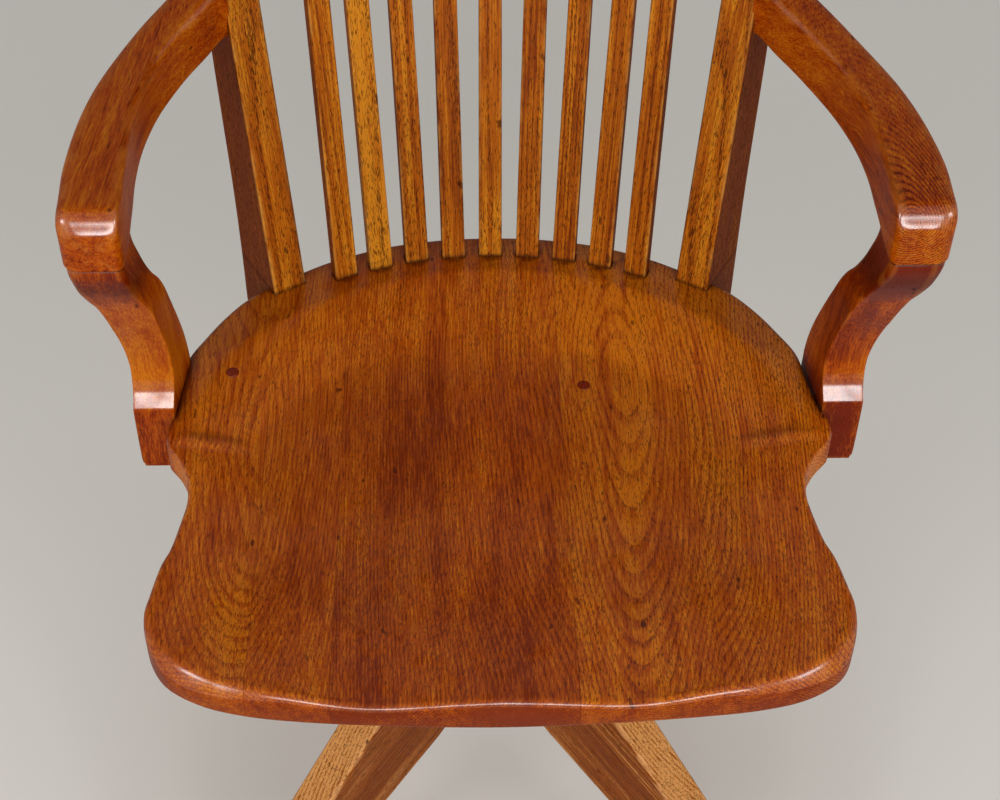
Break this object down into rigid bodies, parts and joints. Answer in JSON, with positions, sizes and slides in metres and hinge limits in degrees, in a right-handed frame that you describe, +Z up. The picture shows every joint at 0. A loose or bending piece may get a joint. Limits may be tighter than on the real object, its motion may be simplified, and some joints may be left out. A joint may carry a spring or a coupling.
{
  "type": "swivel desk chair",
  "caption": "Oak swivel armchair: carved saddle seat, fanned slat back under a bowed rail, open arms, sprung tilt, screw height and a crossed base on casters.",
  "frame": {"origin": "middle of the base of the bounding box at rest, on the floor", "axes": "+Z up; the seat's front faces -Y; +X is to the right as seen from the front"},
  "size_m": [0.606, 0.6066, 0.884],
  "materials": {
    "seat_oak": "glossy reddish brown shellac",
    "slat_oak": "satin golden brown shellac",
    "arm_oak": "polished by use",
    "leg_oak": "worn satin shellac",
    "plug_wood": "dark end grain plug",
    "black_iron": "aged black paint",
    "bright_steel": "worn bright",
    "wheel_wood": "dark hardwood, worn"
  },
  "bodies": {
    "base": {"hub_column": "leg_oak", "hub_bush": "black_iron", "leg_1": "leg_oak", "leg_2": "leg_oak", "leg_3": "leg_oak", "leg_4": "leg_oak", "caster_socket_1": "black_iron", "caster_socket_2": "black_iron", "caster_socket_3": "black_iron", "caster_socket_4": "black_iron"},
    "fork_1": {"caster_fork_1": "black_iron", "caster_axle_1": "bright_steel"},
    "fork_2": {"caster_fork_2": "black_iron", "caster_axle_2": "bright_steel"},
    "fork_3": {"caster_fork_3": "black_iron", "caster_axle_3": "bright_steel"},
    "fork_4": {"caster_fork_4": "black_iron", "caster_axle_4": "bright_steel"},
    "wheel_1": {"caster_wheel_1": "wheel_wood"},
    "wheel_2": {"caster_wheel_2": "wheel_wood"},
    "wheel_3": {"caster_wheel_3": "wheel_wood"},
    "wheel_4": {"caster_wheel_4": "wheel_wood"},
    "nut": {"height_nut": "black_iron"},
    "screw": {"spindle": "bright_steel"},
    "tilt_yoke": {"yoke": "black_iron", "tilt_pin": "bright_steel", "tension_spring": "black_iron"},
    "seat": {"seat_board_1": "seat_oak", "seat_board_2": "seat_oak", "seat_board_3": "seat_oak", "seat_board_4": "seat_oak", "seat_board_5": "seat_oak", "seat_plug_left": "plug_wood", "seat_plug_right": "plug_wood", "slat_1": "slat_oak", "slat_2": "slat_oak", "slat_3": "slat_oak", "slat_4": "slat_oak", "slat_5": "slat_oak", "slat_6": "slat_oak", "slat_7": "slat_oak", "slat_8": "slat_oak", "slat_9": "slat_oak", "post_left": "slat_oak", "post_right": "slat_oak", "crest_rail": "slat_oak", "arm_left": "arm_oak", "arm_right": "arm_oak", "stump_left": "arm_oak", "stump_right": "arm_oak", "stump_screw_left": "bright_steel", "stump_screw_right": "bright_steel", "seat_iron": "black_iron", "seat_screw_1": "bright_steel", "seat_screw_2": "bright_steel", "seat_screw_3": "bright_steel", "seat_screw_4": "bright_steel"},
    "bolt": {"tension_bolt": "bright_steel", "spring_cup": "black_iron"},
    "knob": {"tension_knob": "black_iron"}
  },
  "joints": [
    {"name": "caster_swivel_1", "type": "hinge", "parent": "base", "child": "fork_1", "pos_m": [0.18818, 0.15849, 0.06], "axis": [0, 0, 1], "continuous": true},
    {"name": "caster_swivel_2", "type": "hinge", "parent": "base", "child": "fork_2", "pos_m": [-0.19082, 0.15584, 0.06], "axis": [0, 0, 1], "continuous": true},
    {"name": "caster_swivel_3", "type": "hinge", "parent": "base", "child": "fork_3", "pos_m": [-0.18818, -0.22316, 0.06], "axis": [0, 0, 1], "continuous": true},
    {"name": "caster_swivel_4", "type": "hinge", "parent": "base", "child": "fork_4", "pos_m": [0.19082, -0.22051, 0.06], "axis": [0, 0, 1], "continuous": true},
    {"name": "wheel_spin_1", "type": "hinge", "parent": "fork_1", "child": "wheel_1", "pos_m": [0.19416, 0.1744, 0.024], "axis": [-0.9361, 0.3518, 0], "continuous": true},
    {"name": "wheel_spin_2", "type": "hinge", "parent": "fork_2", "child": "wheel_2", "pos_m": [-0.18602, 0.13953, 0.024], "axis": [0.9593, 0.2823, 0], "continuous": true},
    {"name": "wheel_spin_3", "type": "hinge", "parent": "fork_3", "child": "wheel_3", "pos_m": [-0.20447, -0.2183, 0.024], "axis": [-0.2857, -0.9583, 0], "continuous": true},
    {"name": "wheel_spin_4", "type": "hinge", "parent": "fork_4", "child": "wheel_4", "pos_m": [0.17481, -0.21481, 0.024], "axis": [-0.3355, -0.9421, 0], "continuous": true},
    {"name": "nut_spin", "type": "hinge", "parent": "base", "child": "nut", "pos_m": [0, -0.03234, 0.289], "axis": [0, 0, 1], "range_deg": [0, 3600]},
    {"name": "seat_height", "type": "slide", "parent": "base", "child": "screw", "axis": [0, 0, 1], "range_m": [0, 0.06]},
    {"name": "seat_swivel", "type": "hinge", "parent": "screw", "child": "tilt_yoke", "pos_m": [0, -0.03234, 0.33], "axis": [0, 0, 1], "continuous": true},
    {"name": "seat_tilt", "type": "hinge", "parent": "tilt_yoke", "child": "seat", "pos_m": [0, -0.03234, 0.388], "axis": [-1, 0, 0], "range_deg": [0, 15], "stiffness_Nm_per_rad": 60, "springref_deg": -9.74, "deforming": ["tension_spring"]},
    {"name": "bolt_pivot", "type": "hinge", "parent": "seat", "child": "bolt", "pos_m": [0, -0.13234, 0.37483], "axis": [-1, 0, 0], "range_deg": [-15, 0]},
    {"name": "knob_spin", "type": "hinge", "parent": "bolt", "child": "knob", "pos_m": [0, -0.13234, 0.287], "axis": [0, 0, 1], "continuous": true}
  ],
  "couplings": [
    {"joint": "bolt_pivot", "follows": "seat_tilt", "ratio": -1},
    {"joint": "nut_spin", "follows": "seat_height", "rad_per_m": 1047.2}
  ]
}
